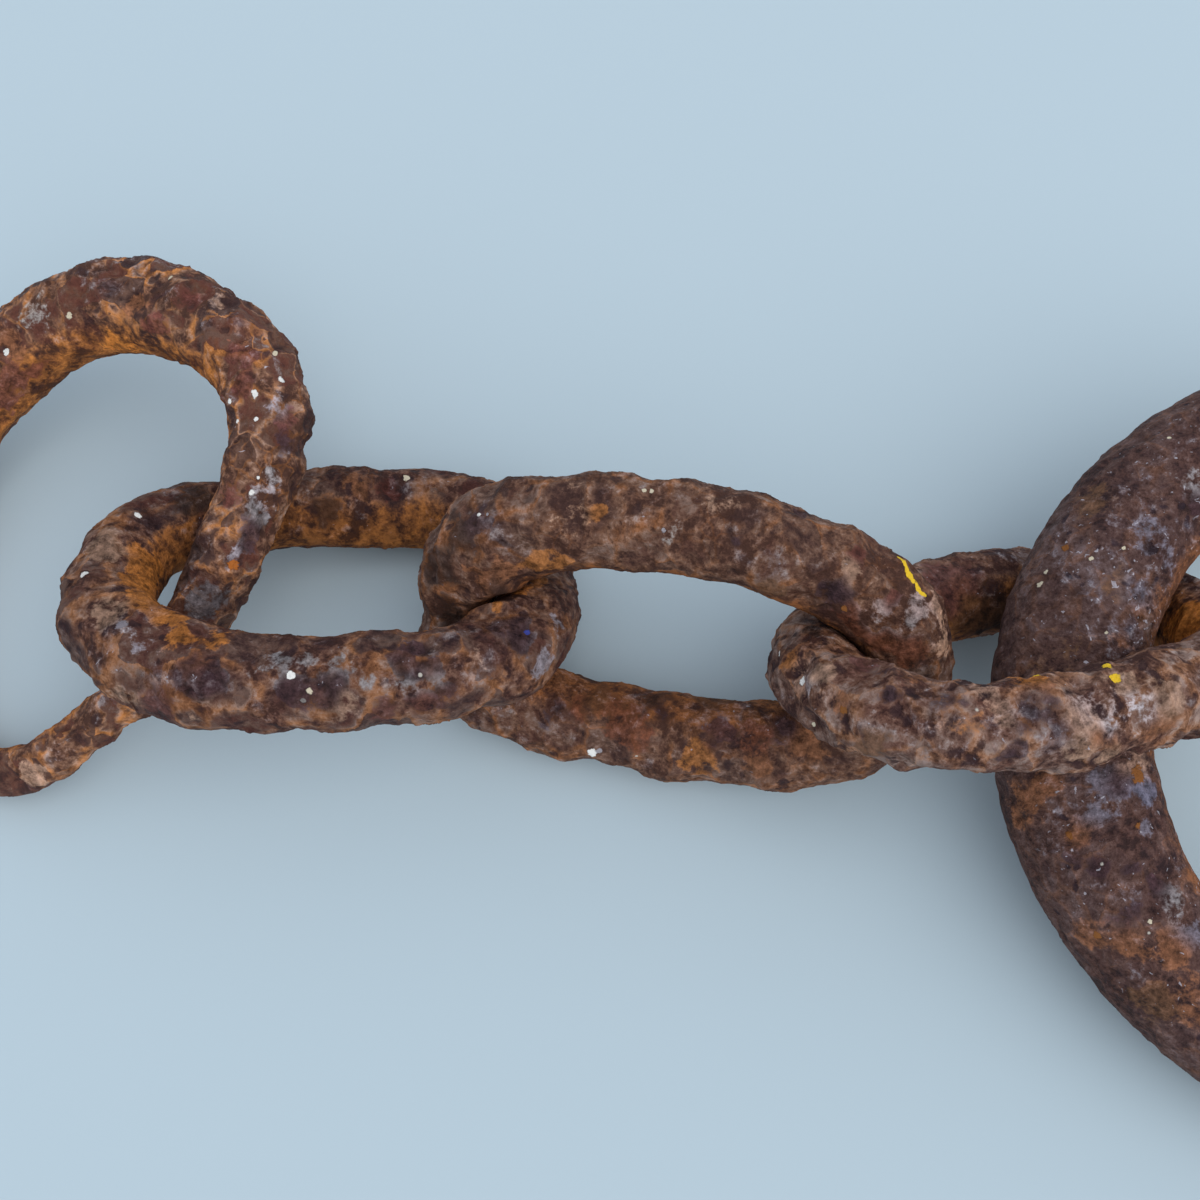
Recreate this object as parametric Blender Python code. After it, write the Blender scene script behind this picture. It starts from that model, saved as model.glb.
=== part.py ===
# A length of rusty chain lying on a floor: an end loop, three forged links and a large ring, each
# threaded through the next. +X runs along the chain towards the ring, +Z is up, the floor is z = 0
# and the origin is under the middle of the chain. Sizes are in millimetres and turns in degrees.
import math

import bpy
from mathutils import Euler, Matrix, Vector

MM = 0.001

STATIONS = 64            # points round each piece's centre line
BAR_RESOLUTION = 4       # bevel resolution of a bar: twelve flats round it
BUMP_SPREAD = 45.0       # how far a bend or a swell reaches to either side of its bearing
FLOOR_CUTTER = (900.0, 500.0, 20.0)
LAND_DEPTH = 0.6         # wear flat inside an end piece, where a hook would bear
LAND_LENGTH = 12.0
LAND_WIDTH = 14.0

# length, width   outside size of the bent bar, along its own X and Y
# bar             diameter of the bar, before its swells
# squareness      2 is an ellipse, more is a fuller oval
# centre, turn    where the piece lies: position, then roll, pitch and heading
# thick_side      bearing round the piece where a tapered bar is thickest, and by how much
# bends, swells   (bearing, distance outwards) and (bearing, growth of the radius)
END_LOOP = dict(
    name="end_loop", length=115.0, width=134.0, bar=17.0, squareness=2.0,
    centre=(-128.7, 12.4, 25.0), turn=(16.0, -10.0, -24.0),
    thick_side=110.0, taper=3.0,
    bends=((0, -5.5), (45, 2.0), (90, -2.5), (135, -1.5), (270, 7.5), (315, -4.5)),
    swells=(),
    color=(0.115, 0.048, 0.028), roughness=0.85,
)
LINKS = (
    dict(
        name="left_link", length=119.5, width=85.5, bar=20.6, squareness=2.6,
        centre=(-63.8, -7.8, 28.0), turn=(-27.5, 8.5, 5.0),
        thick_side=0.0, taper=0.0,
        bends=((0, -1.0), (45, 1.5), (90, -1.0), (180, 1.0), (225, -1.0), (270, 1.0), (315, 1.5)),
        swells=((0, -1.0), (135, -0.5), (225, 1.0)),
        color=(0.100, 0.042, 0.026), roughness=0.85,
    ),
    dict(
        name="middle_link", length=125.0, width=74.5, bar=20.4, squareness=2.6,
        centre=(15.9, -22.4, 32.3), turn=(51.0, -5.0, -10.5),
        thick_side=0.0, taper=0.0,
        bends=((0, 1.0), (45, -1.0), (90, 1.0), (180, -1.0), (225, 1.0)),
        swells=((135, 1.5), (180, -2.0), (225, 0.5)),
        color=(0.095, 0.044, 0.030), roughness=0.85,
    ),
    dict(
        name="right_link", length=120.0, width=80.0, bar=19.2, squareness=2.6,
        centre=(97.3, -26.0, 35.5), turn=(-44.5, 13.5, 16.0),
        thick_side=0.0, taper=0.0,
        bends=((0, -1.0), (45, 1.0), (90, 0.5), (270, 1.0)),
        swells=((0, -2.0), (90, 1.0)),
        color=(0.125, 0.062, 0.042), roughness=0.80,
    ),
)
LARGE_RING = dict(
    name="large_ring", length=184.0, width=184.0, bar=31.8, squareness=2.0,
    centre=(182.8, -45.5, 27.4), turn=(9.0, 0.5, 3.0),
    thick_side=0.0, taper=0.0,
    bends=(),
    swells=((180, 1.0), (225, -1.0)),
    color=(0.090, 0.044, 0.034), roughness=0.75,
)


def clear_scene():
    for item in list(bpy.data.objects):
        bpy.data.objects.remove(item, do_unlink=True)


def new_collection(name):
    collection = bpy.data.collections.new(name)
    bpy.context.scene.collection.children.link(collection)
    return collection


def bump(bearing, peak):
    away = (bearing - peak + 180.0) % 360.0 - 180.0
    if abs(away) >= BUMP_SPREAD:
        return 0.0
    return 0.5 + 0.5 * math.cos(math.pi * away / BUMP_SPREAD)


def station(piece, bearing):
    """Centre, outward direction and radius of the bar at a bearing, in the piece's own frame."""
    bar_radius = piece["bar"] / 2
    half_length = piece["length"] / 2 - bar_radius
    half_width = piece["width"] / 2 - bar_radius
    angle = math.radians(bearing)
    across, along = math.sin(angle), math.cos(angle)
    power = 2.0 / piece["squareness"]
    x = half_length * math.copysign(abs(along) ** power, along)
    y = half_width * math.copysign(abs(across) ** power, across)
    outward = Vector((along / half_length, across / half_width, 0.0)).normalized()
    shift = sum(size * bump(bearing, peak) for peak, size in piece["bends"])
    radius = bar_radius + sum(size * bump(bearing, peak) for peak, size in piece["swells"])
    radius += piece["taper"] * math.cos(math.radians(bearing - piece["thick_side"]))
    return (Vector((x, y, 0.0)) + outward * shift) * MM, outward, radius * MM


def rust(piece):
    material = bpy.data.materials.new(piece["name"])
    material.use_nodes = True
    shader = material.node_tree.nodes["Principled BSDF"]
    shader.inputs["Base Color"].default_value = (*piece["color"], 1.0)
    shader.inputs["Roughness"].default_value = piece["roughness"]
    shader.inputs["Metallic"].default_value = 0.2
    return material


def placement(piece):
    turn = Euler([math.radians(angle) for angle in piece["turn"]], "XYZ")
    return Matrix.Translation(Vector(piece["centre"]) * MM) @ turn.to_matrix().to_4x4()


def bent_bar(piece, collection, root):
    """A closed round bar swept round the piece's centre line, as a mesh."""
    curve = bpy.data.curves.new(piece["name"], "CURVE")
    curve.dimensions = "3D"
    curve.bevel_depth = piece["bar"] / 2 * MM
    curve.bevel_resolution = BAR_RESOLUTION
    spline = curve.splines.new("POLY")
    spline.points.add(STATIONS - 1)
    spline.use_cyclic_u = True
    for index, point in enumerate(spline.points):
        centre, _, radius = station(piece, 360.0 * index / STATIONS)
        point.co = (*centre, 1.0)
        point.radius = radius / curve.bevel_depth
    sweep = bpy.data.objects.new(piece["name"] + "_sweep", curve)
    collection.objects.link(sweep)
    sweep.matrix_world = placement(piece)
    bpy.context.view_layer.update()
    mesh = bpy.data.meshes.new_from_object(sweep.evaluated_get(bpy.context.evaluated_depsgraph_get()))
    bar = bpy.data.objects.new(piece["name"], mesh)
    collection.objects.link(bar)
    bar.matrix_world = sweep.matrix_world
    bar.parent = root
    bpy.data.objects.remove(sweep, do_unlink=True)
    bpy.data.curves.remove(curve)
    mesh.materials.clear()
    mesh.materials.append(rust(piece))
    mesh.shade_smooth()
    mesh.set_sharp_from_angle(angle=math.radians(40))
    return bar


def block(name, size, place, collection, root):
    bpy.ops.mesh.primitive_cube_add(size=1.0)
    cutter = bpy.context.object
    cutter.name = name
    for owner in list(cutter.users_collection):
        owner.objects.unlink(cutter)
    collection.objects.link(cutter)
    cutter.matrix_world = place @ Matrix.Diagonal((*(Vector(size) * MM), 1.0))
    cutter.parent = root
    cutter.hide_render = True
    cutter.display_type = "WIRE"
    return cutter


def cut(target, cutter):
    modifier = target.modifiers.new(cutter.name, "BOOLEAN")
    modifier.operation = "DIFFERENCE"
    modifier.solver = "EXACT"
    modifier.object = cutter


def wear_land(piece, bearing, collection, root):
    """Block whose outer face flattens the inside of the bar at a bearing."""
    centre, outward, radius = station(piece, bearing)
    face = centre - outward * (radius - LAND_DEPTH * MM)
    middle = face - outward * LAND_WIDTH / 2 * MM
    turn = Matrix.Rotation(math.atan2(outward.y, outward.x), 4, "Z")
    place = placement(piece) @ Matrix.Translation(middle) @ turn
    size = (LAND_WIDTH, LAND_LENGTH, LAND_WIDTH)
    return block(piece["name"] + "_land", size, place, collection, root)


def middle_of(pieces):
    corners = [bar.matrix_world @ vertex.co for bar in pieces for vertex in bar.data.vertices]
    low = Vector([min(corner[axis] for corner in corners) for axis in range(3)])
    high = Vector([max(corner[axis] for corner in corners) for axis in range(3)])
    return (low + high) / 2


def build():
    clear_scene()
    parts = new_collection("rusty_chain")
    cutters = new_collection("cutters")
    root = bpy.data.objects.new("chain_origin", None)
    parts.objects.link(root)

    pieces = (END_LOOP, *LINKS, LARGE_RING)
    bars = [bent_bar(piece, parts, root) for piece in pieces]

    below = Matrix.Translation((0.0, 0.0, -FLOOR_CUTTER[2] / 2 * MM))
    floor = block("floor_flat", FLOOR_CUTTER, below, cutters, root)
    for bar in bars:
        cut(bar, floor)
    cut(bars[0], wear_land(END_LOOP, 180.0, cutters, root))
    cut(bars[-1], wear_land(LARGE_RING, 0.0, cutters, root))

    bpy.context.view_layer.update()
    middle = middle_of(bars)
    root.location = (-middle.x, -middle.y, 0.0)
    bpy.context.view_layer.update()


build()
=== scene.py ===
# A length of rusty chain: an end loop, three forged links and a large ring, threaded through
# each other on a pale floor. Sizes of the pieces are in millimetres, turns in degrees.
import math

import bpy
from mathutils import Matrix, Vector


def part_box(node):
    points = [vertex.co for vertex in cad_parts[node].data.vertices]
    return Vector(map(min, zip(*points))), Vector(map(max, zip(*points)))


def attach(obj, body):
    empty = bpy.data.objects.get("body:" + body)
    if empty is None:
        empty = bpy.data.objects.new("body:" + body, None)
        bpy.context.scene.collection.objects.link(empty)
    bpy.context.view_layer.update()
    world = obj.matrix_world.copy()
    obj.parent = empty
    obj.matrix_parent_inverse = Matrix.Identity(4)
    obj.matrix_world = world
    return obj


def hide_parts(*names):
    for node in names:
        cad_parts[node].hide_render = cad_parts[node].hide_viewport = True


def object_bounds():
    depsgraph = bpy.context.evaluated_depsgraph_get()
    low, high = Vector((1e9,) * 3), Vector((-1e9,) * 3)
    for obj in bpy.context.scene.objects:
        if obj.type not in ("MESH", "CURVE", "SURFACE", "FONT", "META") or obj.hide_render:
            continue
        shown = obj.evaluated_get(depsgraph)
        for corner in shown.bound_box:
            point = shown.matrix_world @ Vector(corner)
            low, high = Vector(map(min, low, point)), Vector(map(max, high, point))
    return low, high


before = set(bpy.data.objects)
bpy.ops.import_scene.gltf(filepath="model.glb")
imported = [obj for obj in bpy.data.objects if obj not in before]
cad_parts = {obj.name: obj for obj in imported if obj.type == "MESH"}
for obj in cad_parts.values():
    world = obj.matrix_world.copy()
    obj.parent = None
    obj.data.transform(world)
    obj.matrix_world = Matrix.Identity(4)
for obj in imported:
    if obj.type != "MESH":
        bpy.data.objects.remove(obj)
cadLow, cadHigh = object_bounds()
print("frame loaded:", ", ".join(sorted(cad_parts)))

mm = 0.001
degree = math.radians(1)
bearings = range(0, 360, 45)    # where a bar can be bent or swollen
bumpSpread = 45.0               # how far a bend reaches to either side
roundSteps = 1440               # points of the centre line before it is evened out
landFacing = 0.7                # how squarely a wear flat faces inwards, 1 being straight in
gapShare = 0.45                 # how much of the gap to a neighbour a swelling may take
gapKept = 0.3                   # and the millimetres that it leaves free besides
layerCount = 9.0                # how many layers the flaking shows
edgeBlur, toneBlur = 3, 8       # steps that even out where one stain meets the next

# the millimetres over which noise pushes the edges of marks about
strays = dict(Dents=3.0, Stains=14.0, Flecks=0.0)

# noises over the skin: size in millimetres, and at, a step aside so that two don't run alike
noises = dict(
    wander=dict(size=9.0, detail=2.0, rough=0.5),
    ragged=dict(size=2.6, detail=2.0, rough=0.6),
    stray=dict(size=5.0, detail=4.0, rough=0.6),
    layers=dict(size=9.0, detail=4.0, rough=0.55, at=(5.0, 83.0, 2.0)),
    grain=dict(size=1.7, detail=3.0, rough=0.6),
    broad=dict(size=24.0, detail=3.0, rough=0.55, at=(60.0, 4.0, 9.0)),
    middling=dict(size=6.5, detail=4.0, rough=0.6, distort=0.4, at=(8.0, 31.0, 2.0)),
    fine=dict(size=2.2, detail=3.0, rough=0.6, at=(3.0, 12.0, 50.0)),
    dusty=dict(size=0.7, detail=2.0, rough=0.7, at=(9.0, 40.0, 3.0)),
    cloud=dict(size=8.0, detail=4.0, rough=0.62, distort=0.8, at=(50.0, 11.0, 70.0)),
    paintedGlint=dict(size=1.5, detail=2.0, rough=0.55, distort=0.6, at=(21.0, 9.0, 14.0)),
    fleckEdge=dict(size=1.3, detail=2.0, rough=0.6),
)

# cells over the skin; those that hold a spot are chosen by one channel of their random colour
pitCells = dict(size=5.2, at=(31.0, 7.0, 19.0), channel=1, chosen=(0.66, 0.74))
scabCells = dict(size=4.4, at=(12.0, 90.0, 35.0), channel=0, chosen=(0.78, 0.84))
crackleCells = dict(size=4.2, at=(6.0, 55.0, 23.0), feature="DISTANCE_TO_EDGE")
crumbCells = dict(size=2.6, at=(4.0, 4.0, 4.0))
darkSpotsAt = (17.0, 2.0, 61.0)


class Wire:
    # a node's output that can be used in a sum, beside numbers and other wires
    def __init__(self, bench, node, output=0):
        self.bench = bench
        self.node = node
        self.socket = node.outputs[output]

    def other(self, output):
        return Wire(self.bench, self.node, output)

    def __add__(self, term):
        return self.bench.math("ADD", self, term)

    def __radd__(self, term):
        return self.bench.math("ADD", term, self)

    def __sub__(self, term):
        return self.bench.math("SUBTRACT", self, term)

    def __rsub__(self, term):
        return self.bench.math("SUBTRACT", term, self)

    def __mul__(self, term):
        return self.bench.math("MULTIPLY", self, term)

    def __rmul__(self, term):
        return self.bench.math("MULTIPLY", term, self)

    def __truediv__(self, term):
        return self.bench.math("DIVIDE", self, term)

    def __rtruediv__(self, term):
        return self.bench.math("DIVIDE", term, self)

    def __neg__(self):
        return self.bench.math("MULTIPLY", self, -1.0)


class Bench:
    # a node tree being filled in
    def __init__(self, tree):
        self.tree = tree
        self.count = 0

    def spotFor(self, count):
        # nodes stand in columns of six
        return (220 * (count // 6), -190 * (count % 6))

    def put(self, kind, settings=None, sockets=None, output=0):
        node = self.tree.nodes.new(kind)
        node.location = self.spotFor(self.count)
        self.count += 1
        for name, value in (settings or {}).items():
            setattr(node, name, value)
        for key, value in (sockets or {}).items():
            self.feed(node.inputs[key], value)
        return Wire(self, node, output)

    def feed(self, socket, value):
        if isinstance(value, Wire):
            self.tree.links.new(value.socket, socket)
        else:
            socket.default_value = value

    def math(self, operation, *terms):
        return self.put("ShaderNodeMath", {"operation": operation}, dict(enumerate(terms)))

    def vector(self, operation, *terms, output=0):
        kind = {"operation": operation}
        if operation == "SCALE":
            return self.put("ShaderNodeVectorMath", kind, {0: terms[0], "Scale": terms[1]})
        return self.put("ShaderNodeVectorMath", kind, dict(enumerate(terms)), output)

    def split(self, place, axis):
        return self.put("ShaderNodeSeparateXYZ", None, {0: place}, axis)

    def join(self, x, y, z=0.0):
        return self.put("ShaderNodeCombineXYZ", None, {0: x, 1: y, 2: z})

    def rise(self, value, low, high, start=0.0, end=1.0):
        # a smooth step from start at low to end at high
        return self.put(
            "ShaderNodeMapRange",
            {"interpolation_type": "SMOOTHSTEP"},
            {"Value": value, "From Min": low, "From Max": high, "To Min": start, "To Max": end},
        )

    def noise(self, place, size, detail, rough=0.5, distort=0.0, at=None, output=0):
        if at:
            place = self.vector("ADD", place, at)
        return self.put(
            "ShaderNodeTexNoise",
            {"noise_dimensions": "3D"},
            {
                "Vector": place, "Scale": 1.0 / size, "Detail": detail,
                "Roughness": rough, "Distortion": distort,
            },
            output,
        )

    def wave(self, place, **pattern):
        # a noise that goes as far below nought as above it
        return self.noise(place, **pattern) - 0.5

    def drift(self, place, **pattern):
        # the same along each of three axes
        return self.vector("SUBTRACT", self.noise(place, output="Color", **pattern), (0.5, 0.5, 0.5))

    def cells(self, place, size, at=None, feature="F1"):
        if at:
            place = self.vector("ADD", place, at)
        sockets = {"Vector": place, "Scale": 1.0 / size}
        return self.put("ShaderNodeTexVoronoi", {"feature": feature}, sockets)

    def cellSpots(self, place, size, at, channel, chosen, rim):
        # a round spot in each chosen cell, 1 in its middle and 0 past its rim
        cell = self.cells(place, size, at)
        pick = self.rise(self.split(cell.other("Color"), channel), *chosen)
        return self.rise(cell, *rim, 1.0, 0.0) * pick


class TreeBench(Bench):
    # a Geometry Nodes tree with named inputs
    def __init__(self, name):
        super().__init__(bpy.data.node_groups.new(name, "GeometryNodeTree"))
        self.tree.interface.new_socket("Geometry", in_out="OUTPUT", socket_type="NodeSocketGeometry")
        self.asked = None

    def ask(self, name, kind="Float"):
        self.tree.interface.new_socket(name, in_out="INPUT", socket_type="NodeSocket" + kind)
        if self.asked is None:
            self.asked = self.tree.nodes.new("NodeGroupInput")
            self.asked.location = (-300, 0)
        return Wire(self, self.asked, name)

    def objectAsked(self, name):
        source = {"Object": self.ask(name, "Object")}
        return self.put("GeometryNodeObjectInfo", {"transform_space": "RELATIVE"}, source, "Geometry")

    def keep(self, shape, name, value, kind="FLOAT"):
        return self.put(
            "GeometryNodeStoreNamedAttribute",
            {"data_type": kind, "domain": "POINT"},
            {"Geometry": shape, "Name": name, "Value": value},
        )

    def kept(self, name, kind="FLOAT"):
        return self.put("GeometryNodeInputNamedAttribute", {"data_type": kind}, {"Name": name})

    def position(self):
        return self.put("GeometryNodeInputPosition")

    def sample(self, shape, value, index, kind="FLOAT"):
        settings = {"data_type": kind, "domain": "POINT"}
        sockets = {"Geometry": shape, "Value": value, "Index": index}
        return self.put("GeometryNodeSampleIndex", settings, sockets)

    def evened(self, value, times, kind="FLOAT"):
        sockets = {"Value": value, "Iterations": times}
        return self.put("GeometryNodeBlurAttribute", {"data_type": kind}, sockets)

    def moved(self, shape, **where):
        return self.put("GeometryNodeSetPosition", None, {"Geometry": shape, **where})

    def close(self, shape):
        node = self.tree.nodes.new("NodeGroupOutput")
        node.location = self.spotFor(self.count + 6)
        self.tree.links.new(shape.socket, node.inputs[0])


def signedPower(bench, value, power):
    size = bench.math("POWER", bench.math("ABSOLUTE", value), power)
    return bench.math("SIGN", value) * size


def centreLine(bench):
    # the closed line that a bar follows, an oval with bends, and the bar's radius along it
    length, width, bar = bench.ask("Length"), bench.ask("Width"), bench.ask("Bar")
    squareness, taper, thickSide = bench.ask("Squareness"), bench.ask("Taper"), bench.ask("Thick Side")
    bearing = bench.put("GeometryNodeInputIndex") * (360.0 / roundSteps)
    angle = bearing * degree
    along, across = bench.math("COSINE", angle), bench.math("SINE", angle)
    halfLength, halfWidth = (length - bar) * 0.5, (width - bar) * 0.5
    power = 2.0 / squareness
    x = halfLength * signedPower(bench, along, power)
    y = halfWidth * signedPower(bench, across, power)
    outward = bench.vector("NORMALIZE", bench.join(along / halfLength, across / halfWidth))

    shift = 0.0
    growth = taper * bench.math("COSINE", (bearing - thickSide) * degree)
    for peak in bearings:
        away = bench.math("ABSOLUTE", bench.math("WRAP", bearing - peak, -180.0, 180.0))
        nearby = bench.math("MINIMUM", away, bumpSpread) * (math.pi / bumpSpread)
        bump = bench.math("COSINE", nearby) * 0.5 + 0.5
        shift = shift + bench.ask(f"Bend at {peak}") * bump
        growth = growth + bench.ask(f"Swell at {peak}") * bump

    circle = bench.put("GeometryNodeCurvePrimitiveCircle", {"mode": "RADIUS"}, {"Resolution": roundSteps})
    spot = bench.vector("ADD", bench.join(x, y), bench.vector("SCALE", outward, shift))
    line = bench.keep(circle, "girth", bar * 0.5 + growth)
    line = bench.keep(line, "outward", outward, "FLOAT_VECTOR")
    return bench.moved(line, Position=spot)


def tubeAlong(bench, line, stations, facets):
    # the bar as a smooth tube, which knows its own middle and skin
    line = bench.put("GeometryNodeResampleCurve", {"mode": "COUNT"}, {"Curve": line, "Count": stations})
    line = bench.keep(line, "middle", bench.position(), "FLOAT_VECTOR")
    profile = bench.put(
        "GeometryNodeCurvePrimitiveCircle", {"mode": "RADIUS"}, {"Resolution": facets, "Radius": 1.0}
    )
    tube = bench.put("GeometryNodeCurveToMesh", None, {0: line, 1: profile, "Scale": bench.kept("girth")})
    return bench.keep(tube, "skin", bench.position(), "FLOAT_VECTOR")


def warp(bench, skin):
    # the skin's place pushed about, so that cells laid out by it are ragged
    broad = bench.drift(skin, **noises["wander"])
    close = bench.drift(skin, **noises["ragged"])
    warped = bench.vector("ADD", skin, bench.vector("SCALE", broad, bench.ask("Wander")))
    return bench.vector("ADD", warped, bench.vector("SCALE", close, bench.ask("Ragged")))


def reliefHeight(bench, skin, warped, inner):
    # what hammer and rust have done to the skin, in millimetres
    swing = bench.wave(skin, size=bench.ask("Swing Size"), detail=1.0) * 2.0
    lumps = bench.wave(skin, size=bench.ask("Lump Size"), detail=2.0, rough=0.45) * 2.0
    height = swing * bench.ask("Swing") + lumps * bench.ask("Lumps")

    # hollows as if hammered, with rims between them
    cell = bench.cells(warped, bench.ask("Hollow Size"))
    plate = bench.split(cell.other("Color"), 0)
    hollow = 1.0 - bench.rise(cell, 0.05, 0.80)
    height = height - (hollow - 0.4) * (plate * 0.9 + 0.5) * bench.ask("Hollows")
    dimple = 1.0 - bench.rise(bench.cells(warped, bench.ask("Dimple Size")), 0.1, 0.7)
    height = height - (dimple - 0.3) * bench.ask("Dimples")

    height = height - bench.cellSpots(warped, rim=(0.08, 0.40), **pitCells) * bench.ask("Pits")
    height = height + bench.cellSpots(warped, rim=(0.10, 0.42), **scabCells) * bench.ask("Scabs")

    # flaking in thin layers
    layers = bench.noise(skin, **noises["layers"]) * layerCount
    ledge = bench.math("FLOOR", layers)
    flakes = (ledge + bench.rise(layers - ledge, 0.38, 0.62)) / layerCount - 0.5
    height = height + flakes * bench.ask("Flakes")
    height = height + bench.wave(skin, **noises["grain"]) * bench.ask("Grain")
    return height * bench.rise(inner, 0.2, 0.9, 1.0, 0.6)       # the sheltered inner side is smoother


def marksOn(bench, tube, skin, name, stations, facets):
    # the nearest of some marks on the bar: how many of its reaches off it is, its tone and strength
    marks = bench.objectAsked(name)
    station = bench.math("FLOOR", bench.kept("along") / 360.0 * stations)
    facet = bench.math("FLOOR", bench.kept("round") / 360.0 * facets)
    spot = bench.sample(tube, bench.position(), station * facets + facet, "FLOAT_VECTOR")
    marks = bench.moved(marks, Position=spot)
    push = bench.drift(skin, **noises["stray"])
    here = bench.vector("ADD", skin, bench.vector("SCALE", push, strays[name]))
    nearest = bench.put("GeometryNodeSampleNearest", {"domain": "POINT"}, {0: marks, 1: here})
    centre = bench.sample(marks, bench.position(), nearest, "FLOAT_VECTOR")
    reach = bench.sample(marks, bench.kept("reach"), nearest)
    away = bench.vector("DISTANCE", here, centre, output="Value") / reach
    tone = bench.sample(marks, bench.kept("tone", "FLOAT_VECTOR"), nearest, "FLOAT_VECTOR")
    strength = bench.sample(marks, bench.kept("strength"), nearest)
    return away, tone, strength


def wearFlat(bench, relief, middle, inner):
    # the relief with a flat inside the bar where a hook would bear
    landSide, landDepth = bench.ask("Land Side"), bench.ask("Land Depth")
    landLength = bench.ask("Land Length")
    onLand = bench.math("LESS_THAN", bench.math("ABSOLUTE", bench.split(middle, 1)), landLength * 0.5)
    onLand = onLand * bench.math("GREATER_THAN", bench.split(middle, 0) * landSide, 1.0)
    onLand = onLand * bench.math("GREATER_THAN", inner, landFacing)
    girth = bench.kept("girth")
    landHeight = (girth - landDepth) / bench.math("MAXIMUM", inner, landFacing) - girth
    return relief + onLand * (bench.math("MINIMUM", relief, landHeight) - relief)


def laidInBox(bench, tube):
    # turned, then moved so that it fills the box of its solid
    placing = {"Geometry": tube, "Rotation": bench.ask("Turn", "Vector"), "Scale": (mm, mm, mm)}
    turned = bench.put("GeometryNodeTransform", None, placing)
    reach = bench.put("GeometryNodeBoundBox", None, {0: turned}, "Min")
    boxLow, boxHigh = bench.ask("Box Low", "Vector"), bench.ask("Box High", "Vector")
    across = bench.vector("SCALE", bench.vector("SUBTRACT", boxLow, reach), 0.5)
    down = bench.vector("SUBTRACT", boxHigh, reach.other("Max"))
    across = bench.vector("ADD", across, bench.vector("SCALE", down, 0.5))
    move = bench.join(bench.split(across, 0), bench.split(across, 1), bench.split(down, 2))
    return bench.put("GeometryNodeTransform", None, {"Geometry": turned, "Translation": move})


def raisedSkin(bench, laid):
    # the relief raised on the bar, which stays clear of its neighbours
    beside = bench.put("GeometryNodeJoinGeometry")
    for name in ("Before", "After"):
        bench.feed(beside.node.inputs[0], bench.objectAsked(name))
    gap = bench.put("GeometryNodeProximity", {"target_element": "FACES"}, {0: beside}, "Distance") / mm
    height = bench.math("MINIMUM", bench.kept("relief"), gap * gapShare - gapKept)
    offset = bench.vector("SCALE", bench.put("GeometryNodeInputNormal"), height * mm)
    return bench.moved(laid, Offset=offset)


def aboveFloor(bench, laid):
    # nothing goes below the floor
    place = bench.position()
    height = bench.math("MAXIMUM", bench.split(place, 2), 0.0)
    return bench.moved(laid, Position=bench.join(bench.split(place, 0), bench.split(place, 1), height))


def bentBarTree():
    # a bar bent into a closed link, ring or loop, rusted, laid where its solid lies
    bench = TreeBench("bentRustyBar")
    line = centreLine(bench)
    stations, facets = bench.ask("Stations", "Int"), bench.ask("Facets", "Int")
    tube = tubeAlong(bench, line, stations, facets)
    skin, middle = bench.kept("skin", "FLOAT_VECTOR"), bench.kept("middle", "FLOAT_VECTOR")
    facing = bench.vector("NORMALIZE", bench.vector("SUBTRACT", skin, middle))
    inner = -bench.vector("DOT_PRODUCT", facing, bench.kept("outward", "FLOAT_VECTOR"), output="Value")
    tube = bench.keep(tube, "inner", inner)
    tube = bench.keep(tube, "warped", warp(bench, skin), "FLOAT_VECTOR")
    relief = reliefHeight(bench, skin, bench.kept("warped", "FLOAT_VECTOR"), inner)

    # dents and knobs in their places, rust stains with painted sky reflection and painted shade among them,
    # and flecks of paint and lime with one painted glint
    away, _, height = marksOn(bench, tube, skin, "Dents", stations, facets)
    relief = relief + height * bench.rise(away, 0.0, 1.0, 1.0, 0.0)
    away, tone, strength = marksOn(bench, tube, skin, "Stains", stations, facets)
    tone = bench.evened(tone, toneBlur, "FLOAT_VECTOR")
    tube = bench.keep(tube, "stainsAway", bench.evened(away, edgeBlur))
    tube = bench.keep(tube, "stainsTone", tone, "FLOAT_VECTOR")
    tube = bench.keep(tube, "stainsStrength", bench.evened(strength, toneBlur))
    away, tone, strength = marksOn(bench, tube, skin, "Flecks", stations, facets)
    tube = bench.keep(tube, "flecksAway", away)
    tube = bench.keep(tube, "flecksTone", tone, "FLOAT_VECTOR")
    tube = bench.keep(tube, "flecksStrength", strength)

    tube = bench.keep(tube, "relief", wearFlat(bench, relief, middle, inner))
    laid = aboveFloor(bench, raisedSkin(bench, laidInBox(bench, tube)))
    for name in ("girth", "outward", "middle", "relief"):
        laid = bench.put("GeometryNodeRemoveAttribute", None, {"Geometry": laid, "Name": name})
    laid = bench.put("GeometryNodeSetShadeSmooth", None, {"Geometry": laid, "Shade Smooth": True})
    laid = bench.put("GeometryNodeRealizeInstances", None, {"Geometry": laid})
    rust = bench.ask("Material", "Material")
    bench.close(bench.put("GeometryNodeSetMaterial", None, {0: laid, "Material": rust}))
    return bench.tree


def linear(colour):
    # a screen colour, 0 to 255, as the light that a material gives back
    parts = [part / 255 for part in colour]
    parts = [part / 12.92 if part <= 0.04045 else ((part + 0.055) / 1.055) ** 2.4 for part in parts]
    return (*parts, 1.0)


# how far each layer of rust, painted sheen and painted glints goes from its first trace to full strength
fades = dict(inner=0.4, plates=0.07, haze=0.24, paintedGlints=0.06)


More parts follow.
